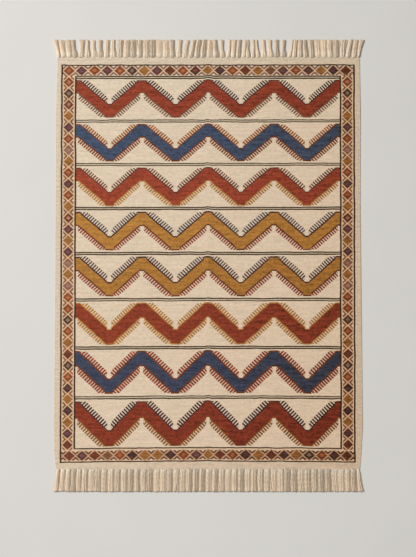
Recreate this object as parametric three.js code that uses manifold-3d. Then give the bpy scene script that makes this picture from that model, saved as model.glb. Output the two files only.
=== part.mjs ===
// A flat-woven kilim rug with a knotted fringe at both ends, lying on the floor.
// Millimetres. X runs across the rug, Y along it and Z up, with the floor at Z = 0.
// The origin is under the middle of the whole rug, fringes included.
import * as THREE from 'three';
import { mergeVertices } from 'three/addons/utils/BufferGeometryUtils.js';
import Module from 'manifold-3d';

const wasm = await Module();
wasm.setup();

// Driving dimensions of the woven cloth
const CLOTH_THICKNESS = 3.0;
const CELLS_ACROSS = 18;
const CELLS_ALONG = 30;
// The rug was stored folded in half along its length, which left one soft ridge
const CREASE = { x: -3, height: 1.1, halfWidth: 16 };
// The side edges, read at eight places down the rug: the cloth widens towards the second end
const SIDE_EDGES = [
  { y: 825.6, left: -597.2, right: 596.1 },
  { y: 600.4, left: -602.0, right: 599.2 },
  { y: 252.8, left: -603.6, right: 598.8 },
  { y: -126.4, left: -606.3, right: 602.8 },
  { y: -379.2, left: -607.9, right: 605.5 },
  { y: -632.0, left: -611.1, right: 607.9 },
  { y: -726.8, left: -609.1, right: 603.2 },
  { y: -803.0, left: -602.8, right: 597.2 },
];

// The woven edge strip that each fringe is knotted into
const STRIP_DEPTH = 6.0;
const PIECE_GAP = 0.3;

// Fringe: every tassel is three soft cotton strands out of one knot
const TASSELS = 49;
const STRANDS_IN_TASSEL = 3;
const STRAND_STEPS = 3;
const ROOT_OVERLAP = 3.0;
const STRAND = { rootWidth: 6.2, tipWidth: 5.2, height: 2.9, crownShare: 0.55 };
const STRAND_PITCH = 7.4;
const SWAY = 1.1;
const LENGTH_SPREAD = 2.0;

// The two ends: direction is +1 where the strands run towards +Y.
// Corner columns say how far the last tips flare past their roots, and over what distance that fades.
const FRINGE_ENDS = [
  {
    name: 'fringe_top', direction: 1, rootY: 825.6, length: 67.5,
    flareLeft: 19, flareRight: 21.8, flareReach: 95, seed: 3,
    // Places where the tips have parted: where, how wide, and how far the neighbours are pushed
    partings: [
      { x: -513, width: 13, reach: 60 },
      { x: -468, width: 4, reach: 50 },
      { x: -440, width: 6, reach: 50 },
      { x: -413, width: 5, reach: 50 },
      { x: -368, width: 4, reach: 60 },
      { x: -124, width: 5, reach: 60 },
      { x: -98, width: 6, reach: 60 },
      { x: -74, width: 4, reach: 60 },
      { x: 68, width: 12, reach: 70 },
      { x: 162, width: 8, reach: 60 },
      { x: 204, width: 6, reach: 60 },
      { x: 253, width: 6, reach: 60 },
      { x: 281, width: 6, reach: 60 },
      { x: 310, width: 15, reach: 70 },
      { x: 540, width: 4, reach: 50 },
    ],
  },
  {
    name: 'fringe_bottom', direction: -1, rootY: -803.0, length: 89.5,
    flareLeft: 13, flareRight: 18, flareReach: 70, seed: 8,
    partings: [
      { x: -210, width: 3, reach: 60 },
      { x: 60, width: 3, reach: 60 },
      { x: 330, width: 3, reach: 60 },
    ],
  },
];

const MATERIALS = {
  cloth: new THREE.MeshStandardMaterial({ color: 0xd8b48c, roughness: 0.95, metalness: 0 }),
  fringe: new THREE.MeshStandardMaterial({ color: 0xdccdb4, roughness: 0.92, metalness: 0 }),
};

// Left and right edge of the rug at a given Y, between the rows of SIDE_EDGES
function sidesAt(y) {
  const last = SIDE_EDGES.length - 1;
  const row = SIDE_EDGES.findIndex((edge, i) => i === last - 1 || y >= SIDE_EDGES[i + 1].y);
  const from = SIDE_EDGES[row];
  const to = SIDE_EDGES[row + 1];
  const share = (y - from.y) / (to.y - from.y);
  return {
    left: THREE.MathUtils.lerp(from.left, to.left, share),
    right: THREE.MathUtils.lerp(from.right, to.right, share),
  };
}

// Height of the crease's soft ridge at a given X
function creaseLift(x) {
  const away = Math.abs(x - CREASE.x) / CREASE.halfWidth;
  if (away >= 1) return 0;
  return CREASE.height * 0.5 * (1 + Math.cos(Math.PI * away));
}

// The columns of the cloth's mesh: even on both sides, with extra ones on the crease
function columnsBetween(left, right) {
  const onCrease = [-1, -0.5, 0, 0.5, 1].map((share) => CREASE.x + share * CREASE.halfWidth);
  const side = (CELLS_ACROSS - onCrease.length + 1) / 2;
  const before = Array.from({ length: side }, (_, i) => left + ((onCrease[0] - left) * i) / side);
  const end = onCrease[onCrease.length - 1];
  const after = Array.from({ length: side }, (_, i) => end + ((right - end) * (i + 1)) / side);
  return [...before, ...onCrease, ...after];
}

// The woven cloth, one thin solid with the rug's own uneven outline
function makeCloth() {
  const [top, bottom] = FRINGE_ENDS;
  const highY = top.rootY - STRIP_DEPTH - PIECE_GAP;
  const lowY = bottom.rootY + STRIP_DEPTH + PIECE_GAP;
  const geometry = new THREE.BoxGeometry(1, 1, 1, CELLS_ACROSS, CELLS_ALONG, 1);
  const position = geometry.attributes.position;
  for (let i = 0; i < position.count; i += 1) {
    const y = THREE.MathUtils.lerp(lowY, highY, position.getY(i) + 0.5);
    const { left, right } = sidesAt(y);
    const column = Math.round((position.getX(i) + 0.5) * CELLS_ACROSS);
    const x = columnsBetween(left, right)[column];
    const face = position.getZ(i) > 0 ? CLOTH_THICKNESS : 0;
    position.setXYZ(i, x, y, face + creaseLift(x));
  }
  geometry.computeVertexNormals();
  return geometry;
}

// A repeatable number from 0 to 1 for a tassel or strand
function chance(index, seed) {
  const wave = Math.sin(index * 12.9898 + seed * 78.233) * 43758.5453;
  return wave - Math.floor(wave);
}

// How far a strand's tip lies from its root along X, from the corners' flare and the partings
function tipShift(end, rootX) {
  const { left, right } = sidesAt(end.rootY);
  const flare = end.flareRight * Math.exp((rootX - right) / end.flareReach)
    - end.flareLeft * Math.exp((left - rootX) / end.flareReach);
  const parted = end.partings.reduce((sum, parting) => {
    const away = rootX - parting.x;
    return sum + Math.sign(away) * 0.5 * parting.width * Math.exp(-Math.abs(away) / parting.reach);
  }, 0);
  return flare + parted;
}

// One strand: a four-sided tapering bar that lies level on the floor
function makeStrand(end, tassel, strand) {
  const { left, right } = sidesAt(end.rootY);
  const pitch = (right - left) / TASSELS;
  const tasselX = left + (tassel + 0.5) * pitch;
  const inTassel = strand - (STRANDS_IN_TASSEL - 1) / 2;
  const rootX = tasselX + inTassel * STRAND_PITCH;
  const shift = tipShift(end, tasselX) + inTassel * 0.3;
  const sway = SWAY * (2 * chance(tassel, end.seed) - 1);
  const length = end.length - LENGTH_SPREAD * chance(tassel * STRANDS_IN_TASSEL + strand, end.seed + 1);
  const geometry = new THREE.BoxGeometry(1, 1, 1, 1, STRAND_STEPS, 1);
  const position = geometry.attributes.position;
  for (let i = 0; i < position.count; i += 1) {
    const along = end.direction > 0 ? position.getY(i) + 0.5 : 0.5 - position.getY(i);
    const onTop = position.getZ(i) > 0;
    const width = THREE.MathUtils.lerp(STRAND.rootWidth, STRAND.tipWidth, along)
      * (onTop ? STRAND.crownShare : 1);
    const x = rootX + shift * along ** 1.4 + sway * Math.sin(Math.PI * along)
      + position.getX(i) * width;
    const y = end.rootY + end.direction * (along * (length + ROOT_OVERLAP) - ROOT_OVERLAP);
    position.setXYZ(i, x, y, onTop ? STRAND.height : 0);
  }
  return geometry;
}

// The narrow strip at the rug's end that the strands grow out of
function makeStrip(end) {
  const innerY = end.rootY - end.direction * STRIP_DEPTH;
  const geometry = new THREE.BoxGeometry(1, 1, CLOTH_THICKNESS);
  const position = geometry.attributes.position;
  for (let i = 0; i < position.count; i += 1) {
    const y = position.getY(i) > 0 ? Math.max(innerY, end.rootY) : Math.min(innerY, end.rootY);
    const { left, right } = sidesAt(y);
    position.setXYZ(i, position.getX(i) > 0 ? right : left, y, position.getZ(i) + CLOTH_THICKNESS / 2);
  }
  return geometry;
}

// Turns a closed geometry into a solid that can be joined
function toSolid(geometry) {
  geometry.deleteAttribute('normal');
  geometry.deleteAttribute('uv');
  const merged = mergeVertices(geometry);
  return new wasm.Manifold(new wasm.Mesh({
    numProp: 3,
    vertProperties: new Float32Array(merged.attributes.position.array),
    triVerts: new Uint32Array(merged.index.array),
  }));
}

// Turns a joined solid back into a geometry
function toGeometry(solid) {
  const mesh = solid.getMesh();
  const geometry = new THREE.BufferGeometry();
  geometry.setAttribute('position', new THREE.BufferAttribute(mesh.vertProperties, 3));
  geometry.setIndex(new THREE.BufferAttribute(mesh.triVerts, 1));
  geometry.computeVertexNormals();
  return geometry;
}

// One end's fringe: the strip with all its strands fused in at their roots
function makeFringe(end) {
  let fringe = toSolid(makeStrip(end));
  for (let tassel = 0; tassel < TASSELS; tassel += 1) {
    for (let strand = 0; strand < STRANDS_IN_TASSEL; strand += 1) {
      fringe = fringe.add(toSolid(makeStrand(end, tassel, strand)));
    }
  }
  return toGeometry(fringe);
}

function namedMesh(name, geometry, material) {
  const mesh = new THREE.Mesh(geometry, material);
  mesh.name = name;
  return mesh;
}

const rug = new THREE.Group();
rug.add(namedMesh('rug_cloth', makeCloth(), MATERIALS.cloth));
for (const end of FRINGE_ENDS) {
  rug.add(namedMesh(end.name, makeFringe(end), MATERIALS.fringe));
}

export default rug;
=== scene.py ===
"""Looks of a fringed zigzag kilim on a pale floor: woven cloth, knotted cotton fringes and a plain studio."""
import math
from functools import partialmethod

import bmesh
import bpy
from bpy.props import FloatProperty, FloatVectorProperty, IntProperty, PointerProperty
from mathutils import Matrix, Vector


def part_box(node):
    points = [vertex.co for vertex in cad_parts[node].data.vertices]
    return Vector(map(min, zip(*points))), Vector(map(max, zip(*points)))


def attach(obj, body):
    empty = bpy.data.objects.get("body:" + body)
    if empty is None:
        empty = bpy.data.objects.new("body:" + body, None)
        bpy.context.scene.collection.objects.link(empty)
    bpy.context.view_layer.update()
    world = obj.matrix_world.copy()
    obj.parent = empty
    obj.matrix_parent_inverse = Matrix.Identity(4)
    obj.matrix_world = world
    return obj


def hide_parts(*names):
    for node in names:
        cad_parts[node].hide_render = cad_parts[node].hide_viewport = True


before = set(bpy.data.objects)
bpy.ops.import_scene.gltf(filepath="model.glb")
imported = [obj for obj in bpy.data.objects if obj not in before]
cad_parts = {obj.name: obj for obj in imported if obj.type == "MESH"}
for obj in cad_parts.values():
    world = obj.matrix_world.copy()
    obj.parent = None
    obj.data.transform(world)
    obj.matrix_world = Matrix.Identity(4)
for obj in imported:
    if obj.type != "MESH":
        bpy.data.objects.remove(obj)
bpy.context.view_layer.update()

bl_info = {
    "name": "Fringed kilim rug",
    "version": (1, 0, 0),
    "blender": (4, 5, 0),
    "location": "3D View > Sidebar > Kilim",
    "description": "Weaves a zigzag kilim, ties its two fringes and sets it in a plain studio",
    "category": "Object",
}

MM = 0.001


def table(columns, *rows):
    """Rows that are read by the names of their columns."""
    return tuple(dict(zip(columns, row)) for row in rows)


# The rug's outline, in millimetres from its middle: the same rows as the solid's side edges
SIDE_EDGES = table(
    ("y", "left", "right"),
    (825.6, -597.2, 596.1),
    (600.4, -602.0, 599.2),
    (252.8, -603.6, 598.8),
    (-126.4, -606.3, 602.8),
    (-379.2, -607.9, 605.5),
    (-632.0, -611.1, 607.9),
    (-726.8, -609.1, 603.2),
    (-803.0, -602.8, 597.2),
)
CREASE_X = -3.0
CREASE_HALF_WIDTH = 16.0
# How far the sheet's first columns lie from a selvedge, its rim's bevel as a share of its thickness, and how
# much a long edge of the rim rises and its two faces agree at most
RIM_STEPS = (0.0, 1.5, 3.0, 4.6, 6.2, 8.4)
RIM_BEVEL = 0.36
RIM_EDGE = {"rise": 1.5, "agreement": 0.5}
# The cloth lifts off the floor where two slow waves meet: how slowly each turns across and along the rug
SWELL_WAVES = ((74.0, 210.0), (-310.0, 93.0))

# Weave counts: one warp rib, one beaten weft and one selvedge cord, in millimetres
WARP_PITCH = 1.9
WEFT_PITCH = 1.2
SELVEDGE_PITCH = 6.4
# The pattern changes colour in steps of half a rib, and each weft is up to this much out of line
STEP = 0.95
JOG = {"reach": 0.7, "seed": 3.0}
RELIEF = {"rib": 0.45, "bead": 0.55, "cord": 1.6}

# Frame lines round the border, as half sizes about the pattern's middle
PATTERN_X = -2.7
HALF_WIDTH = 576.0
HALF_LENGTH = 782.4
OUTER_LINE = {"half_width": HALF_WIDTH, "middle_y": 11.0, "half_length": HALF_LENGTH}
INNER_LINE = {"half_width": 522.4, "middle_y": 15.2, "half_length": 734.0}
SIDE_LINE_WIDTH = 6.8
END_LINE_WIDTH = 5.0
# How the pattern departs from a true rectangle: wider, bowed and leaning towards the second end
WIDENING = 0.0000056
LEAN = 0.0008
TILT = 0.0012
BOW = {"depth": 5.0, "level": 0.35}
# The fold takes a little of the pattern in, which fades away to both sides, and lifts its rows
PINCH = {"depth": 2.5, "growth": 0.0009, "start": 14.0, "reach": 340.0}
CREASE_DIP = 2.2
# How far the weaver's repeats wander from their even places, across the rug
WANDER = table(
    ("x", "shift"),
    (-640.0, 0.0), (-540.0, -0.4), (-389.0, 1.5), (-231.0, -1.7), (-73.0, 1.2),
    (85.0, 0.5), (243.0, 1.2), (400.0, 0.8), (640.0, -0.4),
)
# The hand's waver, across and then along: where each noise starts, its scale and how far it moves the pattern
WAVERS = table(
    ("x", "y", "scale", "reach"),
    (0.0, 0.0, 0.011, 4.0),
    (900.0, 0.0, 0.014, 4.0),
    (0.0, 700.0, 0.05, 1.6),
)

# The zigzag's repeat across the rug
PERIOD = 259.3
FINGER_HALF_WIDTH = 8.8
FINGER_DEPTH = 7.2
WALL_LINE = 3.4
# How far an edge's line stands out past the edge
SLOPE_OUTSET = 1.4
FLAT_OUTSET = 1.7

# Comb teeth along both edges of each zigzag: one repeat, and how far they stop short of a finger's middle
TOOTH_PITCH = 7.65
TEETH_PARTING = 6.8

# Each band of the field: the double line above it, its zigzag's heights and its yarn
BANDS = table(
    ("line", "peak_top", "peak_notch", "valley_notch", "valley_bottom", "yarn"),
    (744.6, 733.0, 683.0, 638.7, 587.5, "madder"),
    (572.4, 559.7, 508.2, 465.5, 414.0, "indigo"),
    (400.9, 386.9, 335.2, 292.0, 238.4, "light_madder"),
    (227.1, 212.7, 160.0, 116.8, 63.5, "gold"),
    (49.4, 36.6, -18.9, -63.6, -118.1, "deep_gold"),
    (-133.1, -146.2, -204.7, -249.8, -308.9, "deep_madder"),
    (-321.9, -335.5, -395.7, -444.4, -502.1, "deep_indigo"),
    (-518.6, -534.4, -599.2, -648.2, -709.9, "maroon"),
)
# How far over its double line a band starts, and how far apart and how wide the two lines are
BAND_START = 6.5
DOUBLE_LINE_GAP = 8.5
DOUBLE_LINE_WIDTH = 4.5
# The combs over and under each band: the yarns of their line and teeth, how far the slopes are drawn in,
# the line's width on slopes and on flats, how far the teeth run and the share of a repeat that is tooth
COMB_COLUMNS = ("line", "teeth", "inset", "slope", "flat", "run", "share")
OVER = table(
    COMB_COLUMNS,
    ("charcoal", "charcoal", 2.2, 5.2, 4.2, 13.6, 0.56),
    ("mahogany", "henna", 2.5, 6.2, 6.0, 12.4, 0.61),
    ("umber", "mahogany", 1.6, 5.8, 4.2, 12.2, 0.56),
    ("charcoal", "slate", 2.8, 7.2, 5.2, 14.2, 0.55),
    ("charcoal", "taupe", 4.3, 7.2, 6.0, 14.6, 0.57),
    ("straw", "straw", -0.8, 5.8, 4.2, 12.2, 0.62),
    ("mahogany", "madder", 2.6, 9.5, 6.0, 13.4, 0.68),
    ("charcoal", "charcoal", 3.9, 6.4, 4.2, 14.5, 0.61),
)
UNDER = table(
    COMB_COLUMNS,
    ("walnut", "walnut", 3.0, 5.8, 4.2, 11.8, 0.57),
    ("mahogany", "rust", 6.6, 6.6, 7.4, 12.4, 0.66),
    ("straw", "straw", 6.1, 5.8, 4.2, 11.9, 0.62),
    ("mahogany", "madder", 4.9, 7.6, 5.8, 11.5, 0.62),
    ("mahogany", "madder", 5.9, 7.6, 6.2, 12.4, 0.63),
    ("straw", "straw", 3.1, 5.8, 4.2, 11.7, 0.65),
    ("mahogany", "madder", 6.0, 9.5, 6.8, 14.4, 0.71),
    ("moss", "moss", 0.4, 5.8, 4.2, 12.4, 0.65),
)
# The zigzag's two edges: which heights their flats and notches have, which way is out, half the flat's width,
# and how far the teeth start before the slope and stop short of its end
UPPER_EDGE, LOWER_EDGE = table(
    ("combs", "level", "notch", "outward", "half_flat", "early", "short"),
    (OVER, "peak_top", "valley_notch", 1.0, 17.4, 1.5, 4.5),
    (UNDER, "valley_bottom", "peak_notch", -1.0, 16.4, 0.0, 3.0),
)

# Border diamonds, charted: a letter for each diamond, and the yarns of its rim and heart
BORDER_YARNS = {
    "r": ("rust", "terracotta"), "R": ("rust", "rose"), "p": ("plum", "lilac"), "P": ("mauve", "rose"),
    "a": ("aubergine", "plum"), "A": ("aubergine", "olive"), "x": ("aubergine", "rust"),
    "b": ("walnut", "walnut"), "g": ("honey", "honey"), "m": ("mahogany", "mahogany"),
    "M": ("mahogany", "rose"),
}
# The diamonds' order, the middles of the first and the last, the run's middle line and half its depth, and
# the yarns between
TOP_ROW, BOTTOM_ROW, SIDE_COLUMN = table(
    ("yarns", "first", "last", "middle", "half_depth", "ground", "lattice", "chevron"),
    ("rprprAgpmrxgarmgbprpgam", -551.2, 541.0, 771.4, 21.8, "cream", "lattice", "mauve"),
    ("mpmbraggarpgmragmagAram", -545.0, 541.5, -747.0, 21.8, "peach", "clay", "chevron"),
    ("rRAMgprPgrprgMpgpPgPrrArgmAragagpmm", 771.4, -748.2, 549.3, 22.8, "peach", "lattice", "sienna"),
)
# How far each ring about a diamond's middle reaches, its own corner being at 1
RINGS = {"heart": 0.4, "rim": 0.9, "lattice": 1.14, "chevron_from": 1.17, "chevron_to": 1.56}
CHEVRON_SHARE = 0.88
# How far the side columns run on past the inner line
CORNER_REACH = 6.5

# Uneven dye: how often each noise turns in a millimetre and how strong it is, and the width of a fleck
STREAK = {"across": 0.012, "along": 0.1, "roughness": 0.6, "strength": 1.1}
BLOTCH = {"across": 0.07, "along": 0.12, "roughness": 0.7, "strength": 1.3}
FLECK = {"width": 3.8, "strength": 0.4}
# Dark dyes are the most uneven, and undyed wool the least
DYE_STRENGTH = {"fall": 1.3, "most": 1.05, "least": 0.22}
# Painted light and shade on dyed yarn: how much lighter it is painted towards the left side and darker
# towards the right side, more so in the lower half, and darker towards the second end, and how much of this
# undyed wool is spared
PAINTED_LIGHT_FALL = {"side": 0.15, "lower_side": 0.1, "right": 0.11, "lower": 0.075, "spared": 0.18}
# Painted light colour and patchy dye: what the painted cooler light towards one corner, the dye patches and
# the painted warmer light on the right side do to red, to green and to blue
PATCH = {"start": 40.0, "across": 0.08, "along": 0.13, "roughness": 0.65}
DYE_PATCHES_AND_LIGHT_TINT = table(
    ("cool", "patch", "warm", "level"),
    (0.0, 0.5, 0.0, 1.0),
    (0.055, -0.4, 0.05, 1.01),
    (0.085, -1.1, 0.15, 1.02),
)
# The cloth is a little smoother where its yarn is lighter
ROUGHNESS = {"fall": 0.08, "most": 0.98}

# The yarns' colours and what they are used for
DYES = table(
    ("name", "colour", "use"),
    ("cream", (0.738, 0.585, 0.433), "Wool of the ground"),
    ("edge", (0.68, 0.541, 0.404), "Wool of the margins"),
    # The bands' reds, blues and yellows are set band by band: partly the yarns' own colour and partly painted
    # light, lightest about the third band and darker towards both ends, most of all towards the second end
    ("madder", (0.271, 0.0488, 0.0231), "Red of the first band and some combs"),
    ("light_madder", (0.3, 0.0545, 0.0262), "Red of the third band"),
    ("deep_madder", (0.247, 0.0453, 0.0207), "Red of the sixth band"),
    ("maroon", (0.2245, 0.0387, 0.0182), "Red of the last band"),
    ("indigo", (0.0548, 0.072, 0.1174), "Blue of the second band"),
    ("deep_indigo", (0.0478, 0.056, 0.0902), "Blue of the seventh band"),
    ("gold", (0.428, 0.188, 0.0415), "Yellow of the fourth band"),
    ("deep_gold", (0.392, 0.172, 0.037), "Yellow of the fifth band"),
    ("charcoal", (0.058, 0.026, 0.027), "Dark combs"),
    ("umber", (0.11, 0.042, 0.03), "Line over the third band"),
    ("slate", (0.085, 0.064, 0.078), "Grey comb of the fourth band"),
    ("taupe", (0.1, 0.058, 0.056), "Brown comb of the fifth band"),
    ("henna", (0.31, 0.085, 0.012), "Orange comb of the second band"),
    ("walnut", (0.18, 0.08, 0.042), "Brown combs and diamonds"),
    ("rust", (0.225, 0.06, 0.02), "Orange combs and diamonds"),
    ("moss", (0.25, 0.095, 0.02), "Green comb of the last band"),
    ("straw", (0.42, 0.188, 0.045), "Gold and olive combs"),
    ("line", (0.055, 0.029, 0.015), "Frame lines and double lines"),
    ("ash", (0.53, 0.43, 0.31), "Between the double lines"),
    ("plum", (0.112, 0.044, 0.038), "Border diamonds"),
    ("aubergine", (0.08, 0.038, 0.031), "Darkest border diamonds"),
    ("honey", (0.3, 0.127, 0.036), "Gold border diamonds"),
    ("olive", (0.25, 0.16, 0.08), "Hearts of the darkest diamonds"),
    ("terracotta", (0.37, 0.125, 0.055), "Hearts of the red diamonds"),
    ("lilac", (0.165, 0.066, 0.065), "Hearts of the plum diamonds"),
    ("rose", (0.38, 0.17, 0.11), "Palest hearts"),
    ("mauve", (0.24, 0.12, 0.085), "Pale diamonds, first row's chevrons"),
    ("mahogany", (0.15, 0.045, 0.022), "Dark red combs and diamonds"),
    ("lattice", (0.66, 0.43, 0.27), "Lines that part the diamonds"),
    ("clay", (0.54, 0.32, 0.19), "The same lines in the last row"),
    ("peach", (0.69, 0.5, 0.34), "Ground of the side and last borders"),
    ("chevron", (0.15, 0.056, 0.024), "Chevrons of the last row"),
    ("sienna", (0.26, 0.092, 0.03), "Chevrons of the side columns"),
)
# Most colours that a colour ramp holds
RAMP_LIMIT = 32

# Plain studio, in metres, with the drop and the picture's middle in millimetres
FLOOR_HALF_SIZE = 6.0
FLOOR_DROP = 0.2
FLOOR_CLOUD = {"scale": 0.004, "strength": 0.04}
SKY_COLOUR = (1.0, 0.99, 0.97, 1.0)
LAMP_COLOUR = (1.0, 0.985, 0.95)
LAMPS = table(
    ("name", "place", "size", "power"),
    ("key", (-5.6, 3.4, 7.4), 2.2, "key_power"),
    ("fill", (0.4, -1.8, 3.6), 2.0, "fill_power"),
)
PICTURE_MIDDLE = (-2.4, -49.4)


# Formulas over a surface

class Reading:
    """A number read at every point of a surface, built up as Math nodes."""

    def __init__(self, socket):
        self.socket = socket
        self.tree = socket.id_data

    def step(self, operation, *others):
        node = self.tree.nodes.new("ShaderNodeMath")
        node.operation = operation
        for entry, value in zip(node.inputs, (self, *others)):
            feed(entry, value)
        return Reading(node.outputs[0])

    __add__ = partialmethod(step, "ADD")
    __sub__ = partialmethod(step, "SUBTRACT")
    __mul__ = partialmethod(step, "MULTIPLY")
    __truediv__ = partialmethod(step, "DIVIDE")
    __abs__ = partialmethod(step, "ABSOLUTE")
    __lt__ = partialmethod(step, "LESS_THAN")
    __gt__ = partialmethod(step, "GREATER_THAN")
    __and__ = partialmethod(step, "MULTIPLY")
    __or__ = partialmethod(step, "MAXIMUM")
    whole = partialmethod(step, "FLOOR")
    fraction = partialmethod(step, "FRACT")
    sine = partialmethod(step, "SINE")
    at_least = partialmethod(step, "MAXIMUM")
    at_most = partialmethod(step, "MINIMUM")

    def snapped(self, pitch):
        return (self / pitch).whole() * pitch + pitch / 2

    def choose(self, yes, no):
        """yes where this mask is 1, and no where it is 0."""
        return Reading(mix_node("FLOAT", self, no, yes))


def feed(entry, value):
    """Gives a node's input a Reading, another node's socket or a plain value."""
    if isinstance(value, Reading):
        value = value.socket
    if isinstance(value, bpy.types.NodeSocket):
        entry.id_data.links.new(value, entry)
    else:
        entry.default_value = value


def mix_node(kind, factor, ground, over):
    """The output of a Mix node of kind FLOAT or RGBA."""
    node = factor.tree.nodes.new("ShaderNodeMix")
    node.data_type = kind
    entries = [e for e in node.inputs if e.enabled]
    for entry, value in zip(entries, (factor, ground, over)):
        feed(entry, value)
    return next(e for e in node.outputs if e.enabled)


def dyed(ground, mask, dye):
    """A colour laid over another where the mask is 1."""
    return mix_node("RGBA", mask, ground, dye)


def ramp(factor, interpolation, places, colours):
    """A colour ramp's output: the colours lie at the places, which run from 0 to 1."""
    node = factor.tree.nodes.new("ShaderNodeValToRGB")
    node.color_ramp.interpolation = interpolation
    elements = node.color_ramp.elements
    while len(elements) < len(colours):
        elements.new(1.0)
    for element, position, colour in zip(elements, places, colours):
        element.position = position
        element.color = colour
    feed(node.inputs["Fac"], factor)
    return node.outputs["Color"]


def charted(position, colours):
    """The colour at a counted position, 0 being the first, from a list of colours."""
    result = None
    for start in range(0, len(colours), RAMP_LIMIT):
        chunk = colours[start:start + RAMP_LIMIT]
        within = (position - start).whole() + 0.5
        places = [index / len(chunk) for index in range(len(chunk))]
        output = ramp(within / len(chunk), "CONSTANT", places, chunk)
        result = dyed(result, position > start - 0.5, output) if start else output
    return result


def as_greys(rows, column):
    """A column of numbers as greys from 0 to 1, with the lowest and the span that lead back to them."""
    values = [row[column] for row in rows]
    low = min(values)
    span = max(values) - low
    return [((value - low) / span,) * 3 + (1.0,) for value in values], low, span


def counted(position, rows, column):
    """The number at a counted position, from a column of a table."""
    greys, low, span = as_greys(rows, column)
    return Reading(charted(position, greys)) * span + low


def combined(*parts):
    """Up to three Readings as one vector."""
    node = parts[0].tree.nodes.new("ShaderNodeCombineXYZ")
    for entry, part in zip(node.inputs, parts):
        feed(entry, part)
    return Reading(node.outputs["Vector"])


def flat_noise(kind, across, along):
    """A new noise node that reads two coordinates."""
    node = across.tree.nodes.new(kind)
    node.noise_dimensions = "2D"
    feed(node.inputs["Vector"], combined(across, along))
    return node


def speckle(across, along, scale=1.0, detail=2.0, roughness=0.5):
    """A soft noise about 0, from -0.5 to 0.5, over two coordinates."""
    node = flat_noise("ShaderNodeTexNoise", across, along)
    node.inputs["Scale"].default_value = scale
    node.inputs["Detail"].default_value = detail
    node.inputs["Roughness"].default_value = roughness
    return Reading(node.outputs["Fac"]) - 0.5


def grain(across, along):
    """A fresh random number from -0.5 to 0.5 for every pair of whole coordinates."""
    node = flat_noise("ShaderNodeTexWhiteNoise", across, along)
    return Reading(node.outputs["Value"]) - 0.5


def place(tree):
    """Object coordinates in millimetres, as two Readings."""
    coordinates = tree.nodes.new("ShaderNodeTexCoord")
    split = tree.nodes.new("ShaderNodeSeparateXYZ")
    feed(split.inputs["Vector"], coordinates.outputs["Object"])
    return tuple(Reading(split.outputs[axis]) * (1 / MM) for axis in ("X", "Y"))


def shaded(colour, amount):
    """A colour made lighter or darker by a Reading round 1, or by one for each channel."""
    node = amount.tree.nodes.new("ShaderNodeVectorMath")
    node.operation = "MULTIPLY"
    feed(node.inputs[0], colour)
    feed(node.inputs[1], amount)
    return node.outputs["Vector"]


def new_cloth_material(name, roughness, sheen):
    """A material with an empty tree but for its Principled shader, set for wool or cotton."""
    material = bpy.data.materials.new(name)
    material.use_nodes = True
    shader = material.node_tree.nodes["Principled BSDF"]
    shader.inputs["Roughness"].default_value = roughness
    shader.inputs["Specular IOR Level"].default_value = 0.08
    shader.inputs["Sheen Weight"].default_value = sheen
    shader.inputs["Sheen Roughness"].default_value = 0.6
    return material, material.node_tree, shader


def raise_relief(shader, height, strength, depth):
    """Bumps a shader by a Reading from 0 to 1, depth being in millimetres."""
    bump = height.tree.nodes.new("ShaderNodeBump")
    bump.inputs["Strength"].default_value = strength
    bump.inputs["Distance"].default_value = depth * MM
    feed(bump.inputs["Height"], height)
    feed(shader.inputs["Normal"], bump.outputs["Normal"])


# Woven pattern

def weave_coordinates(tree):
    """Across and along the pattern, with the hand weave's waver, and snapped to warps and wefts."""
    x, y = place(tree)
    sway, drift, ripple = (
        speckle(x + row["x"], y + row["y"], row["scale"], detail=1.0) * row["reach"] for row in WAVERS)
    spread = (y * -WIDENING) + (1.0 + WIDENING * HALF_LENGTH)
    from_fold = x - CREASE_X
    pinch = (from_fold / PINCH["start"]).at_least(-1.0).at_most(1.0)
    pinch = pinch * (abs(from_fold) / -PINCH["reach"] + 1.0).at_least(0.0)
    pinch = pinch * (y * -PINCH["growth"] + PINCH["depth"])
    across = (x + pinch - wandered(x) - y * LEAN - PATTERN_X) / spread + sway
    on_crease = (abs(from_fold) / -CREASE_HALF_WIDTH + 1.0).at_least(0.0)
    side = x / HALF_WIDTH
    bow = (side * side - BOW["level"]) * (y / -HALF_LENGTH).at_least(0.0) * BOW["depth"]
    along = y - x * TILT + bow + drift + ripple - on_crease * CREASE_DIP
    jog = grain((along / WEFT_PITCH).whole(), JOG["seed"]) * JOG["reach"]
    return across, along, (across + jog).snapped(STEP), along.snapped(WEFT_PITCH)


def wandered(x):
    """How far the pattern has wandered at a place across the rug, between the rows of WANDER."""
    start = WANDER[0]["x"]
    length = WANDER[-1]["x"] - start
    greys, low, span = as_greys(WANDER, "shift")
    places = [(row["x"] - start) / length for row in WANDER]
    return Reading(ramp((x - start) / length, "EASE", places, greys)) * span + low


def frame_line(across, along, line):
    """A mask of a thin rectangular line about the pattern."""
    sides = abs(across) - line["half_width"]
    ends = abs(along - line["middle_y"]) - line["half_length"]
    on_side = (abs(sides) < SIDE_LINE_WIDTH / 2) & (ends < END_LINE_WIDTH / 2)
    on_end = (abs(ends) < END_LINE_WIDTH / 2) & (sides < SIDE_LINE_WIDTH / 2)
    return on_side | on_end


def inside(across, along, line):
    """A mask of all that lies within a frame line."""
    return (abs(across) < line["half_width"]) & (abs(along - line["middle_y"]) < line["half_length"])


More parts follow.
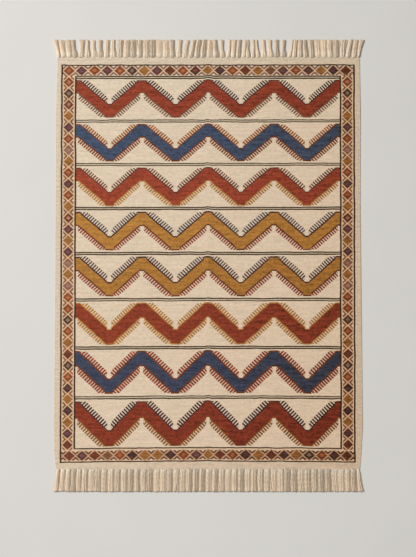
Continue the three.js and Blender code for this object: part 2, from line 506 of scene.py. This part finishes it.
def zigzag_edge(edge, away, along, band_number):
    """How far past the zigzag's edge a point is, and its teeth and line; away is from the flat's middle."""
    level, notch = (counted(band_number, BANDS, edge[part]) for part in ("level", "notch"))
    inset, slope, flat, run, share = (
        counted(band_number, edge["combs"], column) for column in COMB_COLUMNS[2:])
    slope_end = PERIOD / 2 - FINGER_HALF_WIDTH
    fall = (abs(level - notch) - FINGER_DEPTH) / (slope_end - edge["half_flat"])
    past_flat = away > edge["half_flat"]
    drop = fall * (away - edge["half_flat"]).at_least(0.0) + past_flat * inset
    past = (along - (away > slope_end).choose(notch, level - drop * edge["outward"])) * edge["outward"]

    # Slanted teeth, counted from the flat, which lean half way back to upright
    lean = past / (fall + 1.0)
    foot = away - lean
    first = edge["half_flat"] - edge["early"]
    teeth = ((foot - first) / TOOTH_PITCH).fraction() < share
    teeth = teeth & (past > 0.0) & (lean < run) & (foot > first) & (foot < slope_end - edge["short"])
    teeth = teeth & ((along - level) * edge["outward"] < 0.0) & (away < PERIOD / 2 - TEETH_PARTING)

    # The line on the edge, which is further in where the edge slopes, and down the finger's side
    sloping = past_flat & (away < slope_end)
    outset = sloping.choose(SLOPE_OUTSET, FLAT_OUTSET)
    line = (past < outset) & (past > outset - sloping.choose(slope, flat))
    from_notch = (along - notch) * edge["outward"]
    wall = (abs(away - slope_end) < WALL_LINE / 2) & (from_notch > 0.0)
    return past, teeth, line | (wall & (from_notch < inset * -1.0 + FINGER_DEPTH))


def field_pattern(across, along, ground, dyes):
    """The field: double lines between bands, and in each band a zigzag with combed edges."""
    band_number = along < BANDS[1]["line"] + BAND_START
    for band in BANDS[2:]:
        band_number = band_number + (along < band["line"] + BAND_START)
    away = abs(((across / PERIOD + 0.5).fraction() - 0.5) * PERIOD)
    above, upper_teeth, upper_line = zigzag_edge(UPPER_EDGE, away, along, band_number)
    under, lower_teeth, lower_line = zigzag_edge(LOWER_EDGE, away * -1.0 + PERIOD / 2, along, band_number)
    colour = ground
    for mask, rows, part in ((upper_teeth, OVER, "teeth"), (lower_teeth, UNDER, "teeth"),
                             ((above < 0.0) & (under < 0.0), BANDS, "yarn"),
                             (upper_line, OVER, "line"), (lower_line, UNDER, "line")):
        colour = dyed(colour, mask, charted(band_number, [dyes[row[part]] for row in rows]))
    from_line = abs(along - counted(band_number, BANDS, "line"))
    between = from_line < (DOUBLE_LINE_GAP - DOUBLE_LINE_WIDTH) / 2
    double = abs(from_line - DOUBLE_LINE_GAP / 2) < DOUBLE_LINE_WIDTH / 2
    colour = dyed(colour, between, dyes["ash"])
    return dyed(colour, double, dyes["line"])


def diamond_run(position, depth, chart, dyes):
    """A run of diamonds, from a point's position along the run and its depth in the border."""
    run = (position - chart["first"]) / ((chart["last"] - chart["first"]) / (len(chart["yarns"]) - 1))
    number = (run + 0.5).whole()
    off = abs(depth - chart["middle"])
    ring = abs(run - number) * 2.0 + off / chart["half_depth"]
    rims, hearts = (charted(number, [dyes[BORDER_YARNS[letter][part]] for letter in chart["yarns"]])
                    for part in (0, 1))
    ground = dyes[chart["ground"]]
    chevron = (ring > RINGS["chevron_from"]) & (ring < RINGS["chevron_to"])
    colour = dyed(ground, chevron & (off < chart["half_depth"] * CHEVRON_SHARE), dyes[chart["chevron"]])
    for reach, dye in (("lattice", dyes[chart["lattice"]]), ("rim", rims), ("heart", hearts)):
        colour = dyed(colour, ring < RINGS[reach], dye)
    return dyed(colour, off > chart["half_depth"], ground)


def border_pattern(across, along, dyes):
    """The border: diamond rows across both ends and diamond columns down both sides."""
    colour = diamond_run(along, abs(across), SIDE_COLUMN, dyes)
    past_end = abs(along - INNER_LINE["middle_y"]) - INNER_LINE["half_length"]
    past_end = past_end > (abs(across) > INNER_LINE["half_width"]) * CORNER_REACH
    for chart, here in ((TOP_ROW, along > 0.0), (BOTTOM_ROW, along < 0.0)):
        row = diamond_run(across + PATTERN_X, along, chart, dyes)
        colour = dyed(colour, past_end & here, row)
    return colour


def weave_relief(across, along):
    """The height of a weft-faced weave, from 0 to 1: rounded warp ribs crossed by beaten wefts."""
    offset = ((across / WARP_PITCH).whole() * 0.5).fraction()
    rib = abs((across / WARP_PITCH * math.pi).sine())
    bead = abs(((along / WEFT_PITCH + offset) * math.pi).sine())
    margin = abs(across) > HALF_WIDTH + SIDE_LINE_WIDTH
    cord = abs((across / SELVEDGE_PITCH * math.pi).sine()) & margin
    return rib * RELIEF["rib"] + bead * RELIEF["bead"] + cord * RELIEF["cord"]


def uneven_dye_and_painted_light(across, along, colour):
    """How much lighter or darker the yarn is at a point, round 1, from uneven dye and from painted light and
    shade: dyed yarn varies more than undyed.
    """
    streak, blotch = (
        speckle(across * row["across"], along * row["along"], roughness=row["roughness"]) * row["strength"]
        for row in (STREAK, BLOTCH))
    fleck = grain((across / FLECK["width"]).whole(), (along / WEFT_PITCH).whole()) * FLECK["strength"]
    grey = across.tree.nodes.new("ShaderNodeRGBToBW")
    feed(grey.inputs["Color"], colour)
    strength = Reading(grey.outputs["Val"]) * -DYE_STRENGTH["fall"] + DYE_STRENGTH["most"]
    strength = strength.at_least(DYE_STRENGTH["least"])
    # Painted light and shade: dyed yarn lighter towards the left side, darker towards the right side and the
    # second end
    lower = (along / -HALF_LENGTH).at_least(0.0)
    side = across / HALF_WIDTH
    painted_light_fall = side * (lower * -PAINTED_LIGHT_FALL["lower_side"] - PAINTED_LIGHT_FALL["side"])
    painted_light_fall = painted_light_fall - side.at_least(0.0) * PAINTED_LIGHT_FALL["right"] - lower * PAINTED_LIGHT_FALL["lower"]
    amount = (streak + blotch + fleck) * strength + painted_light_fall * (strength - PAINTED_LIGHT_FALL["spared"]) + 1.0
    return amount, strength


def patchy_and_light_tinted(across, along, colour, strength):
    """A colour with a painted light colour, cooler towards the first end's left corner and warmer towards the
    other corner and the right side, its dye redder or bluer in patches.
    """
    patch = speckle(across * PATCH["across"] + PATCH["start"], along * PATCH["along"],
                    detail=3.0, roughness=PATCH["roughness"]) * strength
    # Painted light colour: a cooler light towards one corner, a warmer one towards the other corner and on
    # the right side
    cool = along / (HALF_LENGTH * 2.0) - across / (HALF_WIDTH * 2.0)
    warm = (across / HALF_WIDTH).at_least(0.0) * strength
    shifts = [cool * row["cool"] + patch * row["patch"] - warm * row["warm"] + row["level"]
              for row in DYE_PATCHES_AND_LIGHT_TINT]
    return shaded(colour, combined(*shifts))


def make_kilim_material(dyes):
    """Flat-woven wool: the charted pattern, uneven dye, painted light and shade with a painted light colour
    across the rug, streaks along the wefts and the weave's relief.
    """
    material, tree, shader = new_cloth_material("kilim_weave", roughness=0.92, sheen=0.03)
    across, along, warp_x, weft_y = weave_coordinates(tree)
    field = field_pattern(warp_x, weft_y, dyes["cream"], dyes)
    border = border_pattern(warp_x, weft_y, dyes)
    colour = dyed(border, inside(warp_x, weft_y, INNER_LINE), field)
    colour = dyed(dyes["edge"], inside(warp_x, weft_y, OUTER_LINE), colour)
    lines = frame_line(warp_x, weft_y, OUTER_LINE) | frame_line(warp_x, weft_y, INNER_LINE)
    colour = dyed(colour, lines, dyes["line"])
    amount, strength = uneven_dye_and_painted_light(across, along, colour)
    colour = patchy_and_light_tinted(across, along, colour, strength)
    feed(shader.inputs["Base Color"], shaded(colour, amount))
    raise_relief(shader, weave_relief(across, along), strength=0.5, depth=0.5)
    feed(shader.inputs["Roughness"], amount * -ROUGHNESS["fall"] + ROUGHNESS["most"])
    return material


def make_cotton_material(name, tint, groove_shade, shade):
    """Undyed fringe cotton: fine fibres along the yarn and a little soil in places, with painted shade in the
    grooves between yarns, darkest near the knots.
    """
    material, tree, shader = new_cloth_material(name, roughness=0.9, sheen=0.1)
    x, y = place(tree)
    fibre = speckle(x * FIBRE["across"], y * FIBRE["along"], detail=3.0, roughness=0.6)
    soil = speckle(x, y, SOIL["scale"])
    amount = fibre * FIBRE["strength"] + soil * SOIL["strength"] - x * FRINGE_DARKENING_RIGHTWARD + 1.0
    # Painted shade: where the yarn's surface faces sideways, in the grooves between yarns, the colour turns
    # to the shade colours; less of it on the first end's fringe
    crown = tree.nodes.new("ShaderNodeSeparateXYZ")
    feed(crown.inputs["Vector"], tree.nodes.new("ShaderNodeNewGeometry").outputs["Normal"])
    groove_shade_mask = Reading(crown.outputs["Z"]) * -GROOVE_SHADE["fall"] + GROOVE_SHADE["most"]
    groove_shade_mask = groove_shade_mask.at_most(1.0).at_least(0.0) * (y > 0.0).choose(GROOVE_SHADE["top_share"], 1.0)
    from_root = (y - FRINGES[0]["root_y"]).at_least(y * -1.0 + FRINGES[1]["root_y"])
    handled, past_knot = (
        (from_root / reach).at_most(1.0).at_least(0.0) for reach in (HANDLED_LENGTH, SHADED_LENGTH))
    worn = tuple(channel * share for channel, share in zip(tint, WORN_SHARES))
    # Painted shade colour: the darker shade at the knots, turning to the groove shade further out
    painted_shade = dyed(shade, past_knot, groove_shade)
    colour = dyed(dyed(tint, handled, worn), groove_shade_mask, painted_shade)
    feed(shader.inputs["Base Color"], shaded(colour, amount))
    raise_relief(shader, fibre + 0.5, strength=0.4, depth=0.4)
    return material


# Shapes

def sides_at(y):
    """The rug's left and right edge at a height along it, in millimetres."""
    rows = list(zip(SIDE_EDGES, SIDE_EDGES[1:]))
    start, end = next(((a, b) for a, b in rows if y >= b["y"]), rows[-1])
    share = (y - start["y"]) / (end["y"] - start["y"])
    return tuple(start[side] + (end[side] - start[side]) * share for side in ("left", "right"))


def crease_lift(x, height):
    """Height of the soft ridge along the old fold, in millimetres."""
    away = abs(x - CREASE_X) / CREASE_HALF_WIDTH
    return height * 0.5 * (1 + math.cos(math.pi * away)) if away < 1 else 0.0


def columns(left, right, cell):
    """Places across the cloth: close together at the selvedges, and even between them."""
    *steps, margin = RIM_STEPS
    start = left + margin
    width = right - margin - start
    count = round(width / cell)
    middle = [start + width * i / count for i in range(count + 1)]
    return [left + step for step in steps] + middle + [right - step for step in reversed(steps)]


def place_object(name, data):
    """A new object of the scene with some mesh, curve, lamp or camera data."""
    thing = bpy.data.objects.new(name, data)
    bpy.context.scene.collection.objects.link(thing)
    return thing


def mesh_from(bm, name):
    """A mesh made from a bmesh, which is then freed."""
    mesh = bpy.data.meshes.new(name)
    bm.to_mesh(mesh)
    bm.free()
    return mesh


def finish_piece(name, mesh):
    """A shown object made from a mesh in the rug's own frame."""
    piece = place_object(name, mesh)
    mesh.shade_smooth()
    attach(piece, "root")
    return piece


def weave_sheet(cloth):
    """The cloth as a thin closed sheet in millimetres, on the outline and crease of its solid."""
    low_y = SIDE_EDGES[-1]["y"]
    high_y = SIDE_EDGES[0]["y"]
    cell = cloth.cell / MM
    thickness = cloth.thickness / MM
    middle_left, middle_right = sides_at(0.0)
    cells_across = len(columns(middle_left, middle_right, cell)) - 1
    cells_along = round((high_y - low_y) / cell)
    bm = bmesh.new()
    bmesh.ops.create_grid(bm, x_segments=cells_across, y_segments=cells_along, size=0.5)
    for vert in bm.verts:
        y = low_y + (vert.co.y + 0.5) * (high_y - low_y)
        left, right = sides_at(y)
        places = columns(left, right, cell * (right - left) / (middle_right - middle_left))
        x = places[min(round((vert.co.x + 0.5) * cells_across), len(places) - 1)]
        wave = math.prod(math.sin(x / across + y / along) for across, along in SWELL_WAVES)
        lift = crease_lift(x, cloth.crease_height / MM) + cloth.swell / MM * max(0.0, wave)
        vert.co = Vector((x, y, thickness + lift))
    bmesh.ops.solidify(bm, geom=bm.faces, thickness=thickness)
    bmesh.ops.recalc_face_normals(bm, faces=bm.faces)
    rim = [edge for edge in bm.edges if is_rim(edge)]
    bmesh.ops.bevel(bm, geom=rim, offset=thickness * RIM_BEVEL, offset_type="OFFSET", segments=2,
                    profile=0.5, affect="EDGES", material=-1)
    bmesh.ops.scale(bm, vec=(MM, MM, MM), verts=bm.verts)
    return mesh_from(bm, "rug_cloth_woven")


def is_rim(edge):
    """True for the long edges where the sheet's faces turn down into its rim."""
    one, other = (face.normal for face in edge.link_faces)
    level = abs(edge.verts[0].co.z - edge.verts[1].co.z) < RIM_EDGE["rise"]
    return level and abs(one.dot(other)) < RIM_EDGE["agreement"]


# Fringe

# Where the tassels are knotted in and where their tips lie: after how many tassels, where across the rug,
# and how wide the tips have parted there
FRINGES = (
    {
        "node": "fringe_top", "direction": 1, "root_y": 825.6, "length": 68.0, "seed": 3,
        "tassels": 51, "notch": 1.5, "notch_reach": 0.16,
        "knots": table(
            ("after", "x"),
            (0, -597.2), (1, -583.4), (4, -515.1), (5, -491.0), (6, -463.7), (9, -390.3),
            (12, -311.7), (18, -155.2), (24, -9.1), (26, 44.2), (27, 66.4), (30, 128.0),
            (34, 204.6), (38, 308.5), (40, 348.4), (47, 516.7), (50, 585.4), (51, 596.1),
        ),
        "tips": table(
            ("after", "x", "gap"),
            (0, -616.0, 0.0), (2, -570.8, 3.0), (4, -518.6, 16.6), (5, -487.0, 4.0), (6, -468.0, 8.0),
            (7, -442.0, 11.5), (8, -414.8, 8.5), (9, -387.5, 4.0), (10, -365.0, 8.0), (11, -335.8, 3.0),
            (18, -155.2, 0.0), (19, -129.2, 9.5), (20, -97.2, 9.5), (21, -69.5, 8.0), (25, 17.4, 0.0),
            (26, 37.1, 9.0), (27, 68.3, 16.0), (30, 135.5, 7.0), (32, 165.1, 12.0), (34, 200.7, 12.0),
            (35, 226.7, 8.0), (36, 254.4, 11.5), (37, 283.2, 12.0), (38, 317.2, 21.0), (42, 389.9, 5.0),
            (46, 491.4, 4.0), (47, 515.9, 3.0), (48, 550.6, 6.0), (51, 616.0, 0.0),
        ),
    },
    {
        "node": "fringe_bottom", "direction": -1, "root_y": -803.0, "length": 89.5, "seed": 8,
        "tassels": 48, "notch": 1.5, "notch_reach": 0.22,
        "knots": table(
            ("after", "x"),
            (0, -602.8), (1, -585.4), (5, -500.1), (13, -295.5), (23, -37.1), (34, 244.1),
            (45, 536.8), (47, 583.4), (48, 597.2),
        ),
        "tips": table(
            ("after", "x", "gap"),
            (0, -614.0, 0.0), (5, -503.0, 0.0), (13, -295.5, 0.0), (34, 244.1, 0.0), (44, 514.0, 0.0),
            (48, 614.0, 0.0),
        ),
    },
)
# Where each yarn of a tassel lies: across, from -1 to 1, and how far up the bundle
YARN_PLACES = ((-1.0, 0.0), (-0.34, 0.1), (0.34, 0.1), (1.0, 0.0), (-0.66, 1.0), (0.0, 1.1), (0.66, 1.0),
               (-0.3, 2.0), (0.34, 1.9))
OUTLINE_CORNERS = 8
PLY_DEPTH = 0.1
# Along a tassel, as shares of its length: where the tips start to part, and how a yarn runs out to its tip
PARTING = {"start": 0.1, "length": 0.5}
TIP_CURVE = 1.3
KNOT = {"length": 0.14, "thickness": 0.72, "loosening": 0.1}
# A yarn's root in the cloth's edge and the bulge past it: lengths in millimetres, places as shares
ROOT = {"reach": 0.16, "curve": 1.5, "height": 1.7, "overlap": 4.0}
BULGE = {"middle": 0.16, "width": 0.12, "height": 0.9}
YARN = {"step": 3.6, "wander": 3.0, "waves": 2.4, "length_spread": 3.4, "layer_step": 0.8, "layer_rise": 1.15,
        "settling": 0.35}
# A yarn may start anywhere in a turn, in radians
FULL_TURN = 6.28
WELD = 0.001
# The random draws: the wave behind them, the seed of each, and how a yarn's number is made
CHANCE = {"index": 12.9898, "seed": 78.233, "height": 43758.5453}
SEEDS = {"wander": 2, "phase": 3, "length": 4, "twist": 5, "yarn": 9, "tassel": 21}
YARN_KEY = {"tassel": 31, "across": 10, "layer": 4, "twist": 7}
# The three cottons, as shares of the fringe's own colour, and what makes a yarn lighter or darker than plain:
# at random by tassel and by yarn, and by painted light and shade across each tassel
COTTONS = table(
    ("name", "share"),
    ("fringe_cotton", 1.0), ("fringe_cotton_pale", 1.18), ("fringe_cotton_tan", 0.74),
)
LIGHTNESS = {"tassel": 1.1, "yarn": 0.8, "side": 0.5, "plain": 0.2}
# Soiled cotton and painted shade: the noises along the fibres and over the fringe, and how the grooves
# between yarns are darkened with painted shade where the yarn faces sideways
FIBRE = {"across": 2.2, "along": 0.35, "strength": 0.2}
SOIL = {"scale": 0.03, "strength": 0.16}
# The fringe is a little darker towards the right
FRINGE_DARKENING_RIGHTWARD = 0.00005
GROOVE_SHADE = {"fall": 1.4, "most": 1.15, "top_share": 0.3}
HANDLED_LENGTH = 34.0
# How far past the knots the painted shade in the grooves turns from the darker shade to the groove shade
SHADED_LENGTH = 16.0
WORN_SHARES = (0.85, 0.8, 0.755, 1.0)


def chance(index, seed):
    """A repeatable number from 0 to 1."""
    wave = math.sin(index * CHANCE["index"] + seed * CHANCE["seed"]) * CHANCE["height"]
    return wave - math.floor(wave)


def read_between(rows, after):
    """The place across after a number of tassels, between the rows of a table."""
    start, end = next(pair for pair in zip(rows, rows[1:]) if after <= pair[1]["after"])
    steps = end["after"] - start["after"]
    return start["x"] + (end["x"] - start["x"]) * (after - start["after"]) / steps


def tassel_sides(end, tassel, share):
    """A tassel's left and right side, some share of the way from its root to its tip."""
    opened = min(1.0, max(0.0, (share - PARTING["start"]) / PARTING["length"]))
    opened = opened * opened * (3 - 2 * opened)
    notched = end["notch"] * max(0.0, 1 - share / end["notch_reach"])
    sides = []
    for after, inward in ((tassel, 1), (tassel + 1, -1)):
        root = read_between(end["knots"], after)
        tip = read_between(end["tips"], after)
        gap = next((row["gap"] for row in end["tips"] if row["after"] == after), 0.0)
        sides.append(root + (tip - root) * share ** TIP_CURVE + inward * (gap / 2 * opened + notched))
    return sides


def thickness_at(share):
    """A yarn's thickness along it, as a share of its radius: tight in the knot, looser at the tip."""
    loose = min(1.0, share / KNOT["length"])
    return KNOT["thickness"] + (1 - KNOT["thickness"]) * loose + KNOT["loosening"] * share


def yarn_path(end, tassel, across, layer, radius, steps):
    """Points down one yarn, in millimetres: out of the cloth's edge, over the bulge and to the floor."""
    key = tassel * YARN_KEY["tassel"] + round(across * YARN_KEY["across"]) + round(layer * YARN_KEY["layer"])
    wander, phase, cut = (chance(key, end["seed"] + SEEDS[draw]) for draw in ("wander", "phase", "length"))
    length = end["length"] - YARN["length_spread"] * cut - YARN["layer_step"] * layer
    points = []
    for i in range(steps + 1):
        share = i / steps
        left, right = tassel_sides(end, tassel, share)
        x = (left + right) / 2 + across * ((right - left) / 2 - radius)
        wave = math.sin(YARN["waves"] * math.pi * share + FULL_TURN * phase)
        x += YARN["wander"] * (wander - 0.5) * share * wave
        bulge = math.exp(-(((share - BULGE["middle"]) / BULGE["width"]) ** 2))
        rest = radius * (1.0 + YARN["layer_rise"] * layer * (1 - YARN["settling"] * share))
        sunk = max(0.0, 1 - share / ROOT["reach"]) ** ROOT["curve"]
        z = (rest + BULGE["height"] * bulge) * (1 - sunk) + ROOT["height"] * sunk
        y = end["root_y"] + end["direction"] * (share * (length + ROOT["overlap"]) - ROOT["overlap"])
        points.append((x, y, max(z, radius * thickness_at(share))))
    return points


def yarn_outline():
    """The cross section of a two-ply yarn: two lobes side by side, of unit radius."""
    curve = bpy.data.curves.new("yarn_outline", "CURVE")
    spline = curve.splines.new("POLY")
    spline.points.add(OUTLINE_CORNERS - 1)
    for i in range(OUTLINE_CORNERS):
        angle = 2 * math.pi * i / OUTLINE_CORNERS
        reach = 1 - PLY_DEPTH + PLY_DEPTH * math.cos(2 * angle)
        spline.points[i].co = (reach * math.cos(angle), reach * math.sin(angle), 0.0, 1.0)
    spline.use_cyclic_u = True
    return place_object("yarn_outline", curve)


def yarn_tint(tassel, number, across):
    """Which row of COTTONS a yarn is: a tassel is pale or tan as a whole at random, and its left yarns are
    paler and its right yarns tanner as painted light from the left.
    """
    lightness = LIGHTNESS["tassel"] * (chance(tassel, SEEDS["tassel"]) - 0.5)
    own = chance(tassel * len(YARN_PLACES) + number, SEEDS["yarn"]) - 0.5
    # Painted light and shade: yarns on a tassel's left side lean to the pale cotton, those on its right to
    # the tan
    lightness += LIGHTNESS["yarn"] * own - LIGHTNESS["side"] * across
    if abs(lightness) <= LIGHTNESS["plain"]:
        return 0
    return 1 if lightness > 0 else 2


def tie_fringe(end, fringe, outline, cottons):
    """All the yarns of one end as one mesh, each closed at both tips."""
    curve = bpy.data.curves.new(end["node"] + "_yarns", "CURVE")
    curve.dimensions = "3D"
    curve.twist_mode = "Z_UP"
    curve.bevel_mode = "OBJECT"
    curve.bevel_object = outline
    curve.use_fill_caps = True
    for cotton in cottons:
        curve.materials.append(cotton)
    radius = fringe.yarn_diameter / MM / 2
    steps = round(end["length"] / YARN["step"])
    turn = 2 * math.pi * MM / fringe.twist_length
    for tassel in range(end["tassels"]):
        for number, (across, layer) in enumerate(YARN_PLACES):
            path = yarn_path(end, tassel, across, layer, radius, steps)
            spline = curve.splines.new("POLY")
            spline.points.add(len(path) - 1)
            start = FULL_TURN * chance(tassel * YARN_KEY["twist"] + number, SEEDS["twist"])
            for i, (x, y, z) in enumerate(path):
                share = i / steps
                spline.points[i].co = (x * MM, y * MM, z * MM, 1.0)
                spline.points[i].radius = radius * MM * thickness_at(share)
                spline.points[i].tilt = start + turn * share * end["length"]
            spline.material_index = yarn_tint(tassel, number, across)
            spline.use_smooth = True
    yarns = place_object(curve.name, curve)
    bpy.context.view_layer.update()
    evaluated = yarns.evaluated_get(bpy.context.evaluated_depsgraph_get())
    mesh = bpy.data.meshes.new_from_object(evaluated)
    bpy.data.objects.remove(yarns)
    bm = bmesh.new()
    bm.from_mesh(mesh)
    bmesh.ops.remove_doubles(bm, verts=bm.verts, dist=WELD * MM)
    bmesh.ops.recalc_face_normals(bm, faces=bm.faces)
    bm.to_mesh(mesh)
    bm.free()
    return mesh


# Settings

def colour_setting(name, colour, description):
    """A colour of the panel, with its starting value."""
    return FloatVectorProperty(name=name, description=description, subtype="COLOR", size=4,
                               min=0.0, max=1.0, default=(*colour, 1.0))


def number_setting(name, default, description, unit="LENGTH"):
    """A number of the panel, with its starting value."""
    return FloatProperty(name=name, description=description, unit=unit, default=default)


class KILIM_PG_cloth(bpy.types.PropertyGroup):
    """Sizes of the woven cloth."""
    thickness: number_setting("Thickness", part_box("fringe_top")[1][2], "Thickness of the flat weave")
    cell: number_setting("Cell", 10 * MM, "Size of the sheet's mesh cells")
    crease_height: number_setting("Crease", 0.8 * MM, "Height of the old fold's soft ridge")
    swell: number_setting("Swell", 0.6 * MM, "How far the cloth rises off the floor in places")


class KILIM_PG_dyes(bpy.types.PropertyGroup):
    """Colours of the yarns."""
    __annotations__ = {
        dye["name"]: colour_setting(dye["name"].replace("_", " ").capitalize(), dye["colour"], dye["use"])
        for dye in DYES
    }


class KILIM_PG_fringe(bpy.types.PropertyGroup):
    """Yarns of the fringe."""
    yarn_diameter: number_setting("Yarn", 4.6 * MM, "Diameter of one two-ply yarn")
    twist_length: number_setting("Twist", 38 * MM, "Length of one full turn of the two plies")
    cotton: colour_setting("Cotton", (0.84, 0.722, 0.58), "Undyed cotton of most yarns")
    # Painted shade colour in the grooves between yarns
    groove_shade: colour_setting("Dust", (0.56, 0.4, 0.26), "Soiled cotton in the grooves")
    # Darker painted shade in the grooves near the knots
    shade: colour_setting("Shade", (0.2, 0.12, 0.07), "Soiled cotton between the knots")


class KILIM_PG_studio(bpy.types.PropertyGroup):
    """Floor, lights and camera."""
    floor: colour_setting("Floor", (0.7, 0.69, 0.67), "Plain pale floor")
    key_power: number_setting("Key", 786.0, "Power of the large lamp", "POWER")
    fill_power: number_setting("Fill", 32.0, "Power of the weak lamp", "POWER")
    sky: number_setting("Sky", 0.2, "Strength of the even light from all round", "NONE")
    lens: number_setting("Lens", 85.0, "Focal length in millimetres", "NONE")
    photo_height: IntProperty(name="Picture height", description="Pixels of the picture's height",
                              default=557)
    pixel: number_setting("Pixel", 3.95 * MM, "Size on the floor of one pixel")


# Operators

class KILIM_OT_weave_cloth(bpy.types.Operator):
    """Weaves the cloth with its charted pattern"""
    bl_idname = "kilim.weave_cloth"
    bl_label = "Weave cloth"

    def execute(self, context):
        settings = context.scene
        dyes = {name: tuple(getattr(settings.kilim_dyes, name)) for name in KILIM_PG_dyes.__annotations__}
        mesh = weave_sheet(settings.kilim_cloth)
        mesh.materials.append(make_kilim_material(dyes))
        cloth = finish_piece("rug_cloth_woven", mesh)
        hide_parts("rug_cloth")
        return {"FINISHED"}


class KILIM_OT_tie_fringes(bpy.types.Operator):
    """Ties the yarns of both fringes"""
    bl_idname = "kilim.tie_fringes"
    bl_label = "Tie fringes"

    def execute(self, context):
        fringe = context.scene.kilim_fringe
        base = tuple(fringe.cotton)
        cottons = []
        for row in COTTONS:
            tint = (*(min(1.0, channel * row["share"]) for channel in base[:3]), 1.0)
            cottons.append(make_cotton_material(row["name"], tint, tuple(fringe.groove_shade), tuple(fringe.shade)))
        outline = yarn_outline()
        for end in FRINGES:
            mesh = tie_fringe(end, fringe, outline, cottons)
            piece = finish_piece(end["node"] + "_yarns", mesh)
            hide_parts(end["node"])
        bpy.data.objects.remove(outline)
        return {"FINISHED"}


class KILIM_OT_declare_cloth(bpy.types.Operator):
    """A step that does nothing; it states no size"""
    bl_idname = "kilim.declare_cloth"
    bl_label = "State flat size"

    def execute(self, context):
        return {"FINISHED"}


class KILIM_OT_set_studio(bpy.types.Operator):
    """Sets the floor, the lights and the camera above the rug"""
    bl_idname = "kilim.set_studio"
    bl_label = "Set studio"

    def execute(self, context):
        studio = context.scene.kilim_studio
        lay_floor(studio)
        hang_lights(studio)
        place_camera(studio)
        context.scene.view_settings.view_transform = "Standard"
        return {"FINISHED"}


def lay_floor(studio):
    """A wide pale floor just under the rug."""
    bm = bmesh.new()
    bmesh.ops.create_grid(bm, x_segments=1, y_segments=1, size=FLOOR_HALF_SIZE)
    bmesh.ops.translate(bm, vec=(0, 0, -FLOOR_DROP * MM), verts=bm.verts)
    mesh = mesh_from(bm, "floor")
    material = bpy.data.materials.new("floor_plain")
    material.use_nodes = True
    tree = material.node_tree
    shader = tree.nodes["Principled BSDF"]
    shader.inputs["Roughness"].default_value = 0.85
    x, y = place(tree)
    cloud = speckle(x, y, FLOOR_CLOUD["scale"], detail=3.0) * FLOOR_CLOUD["strength"] + 1.0
    feed(shader.inputs["Base Color"], shaded(tuple(studio.floor)[:3], cloud))
    mesh.materials.append(material)
    floor = place_object("floor", mesh)


def hang_lights(studio):
    """Square soft lamps that face the middle of the rug, and even light from all round."""
    world = bpy.data.worlds.new("studio")
    world.use_nodes = True
    background = world.node_tree.nodes["Background"]
    background.inputs["Color"].default_value = SKY_COLOUR
    background.inputs["Strength"].default_value = studio.sky
    bpy.context.scene.world = world
    for row in LAMPS:
        lamp = bpy.data.lights.new(row["name"], "AREA")
        lamp.shape = "SQUARE"
        lamp.size = row["size"]
        lamp.energy = getattr(studio, row["power"])
        lamp.color = LAMP_COLOUR
        holder = place_object(row["name"], lamp)
        holder.location = row["place"]
        holder.rotation_euler = (-Vector(row["place"])).to_track_quat("-Z", "Y").to_euler()


def place_camera(studio):
    """A camera straight above the rug, framed as the photo is."""
    data = bpy.data.cameras.new("camera")
    data.lens = studio.lens
    camera = place_object("camera", data)
    height = studio.photo_height * studio.pixel * studio.lens / data.sensor_width
    camera.location = (PICTURE_MIDDLE[0] * MM, PICTURE_MIDDLE[1] * MM, height)
    bpy.context.scene.camera = camera


class KILIM_PT_panel(bpy.types.Panel):
    """Lists the rug's settings and steps"""
    bl_label = "Kilim rug"
    bl_space_type = "VIEW_3D"
    bl_region_type = "UI"
    bl_category = "Kilim"

    def draw(self, context):
        for group in (KILIM_PG_cloth, KILIM_PG_dyes, KILIM_PG_fringe, KILIM_PG_studio):
            box = self.layout.box()
            box.label(text=group.__doc__)
            settings = getattr(context.scene, SETTINGS[group])
            for name in group.__annotations__:
                box.prop(settings, name)
        for step in STEPS:
            self.layout.operator(step.bl_idname)


SETTINGS = {
    KILIM_PG_cloth: "kilim_cloth",
    KILIM_PG_dyes: "kilim_dyes",
    KILIM_PG_fringe: "kilim_fringe",
    KILIM_PG_studio: "kilim_studio",
}
STEPS = (KILIM_OT_weave_cloth, KILIM_OT_tie_fringes, KILIM_OT_declare_cloth, KILIM_OT_set_studio)
CLASSES = (*SETTINGS, *STEPS, KILIM_PT_panel)


def register():
    for cls in CLASSES:
        bpy.utils.register_class(cls)
    for group, name in SETTINGS.items():
        setattr(bpy.types.Scene, name, PointerProperty(type=group))


def unregister():
    for name in SETTINGS.values():
        delattr(bpy.types.Scene, name)
    for cls in reversed(CLASSES):
        bpy.utils.unregister_class(cls)


def main():
    register()
    bpy.ops.kilim.weave_cloth()
    bpy.ops.kilim.tie_fringes()
    bpy.ops.kilim.declare_cloth()
    bpy.ops.kilim.set_studio()


if __name__ == "__main__":
    main()
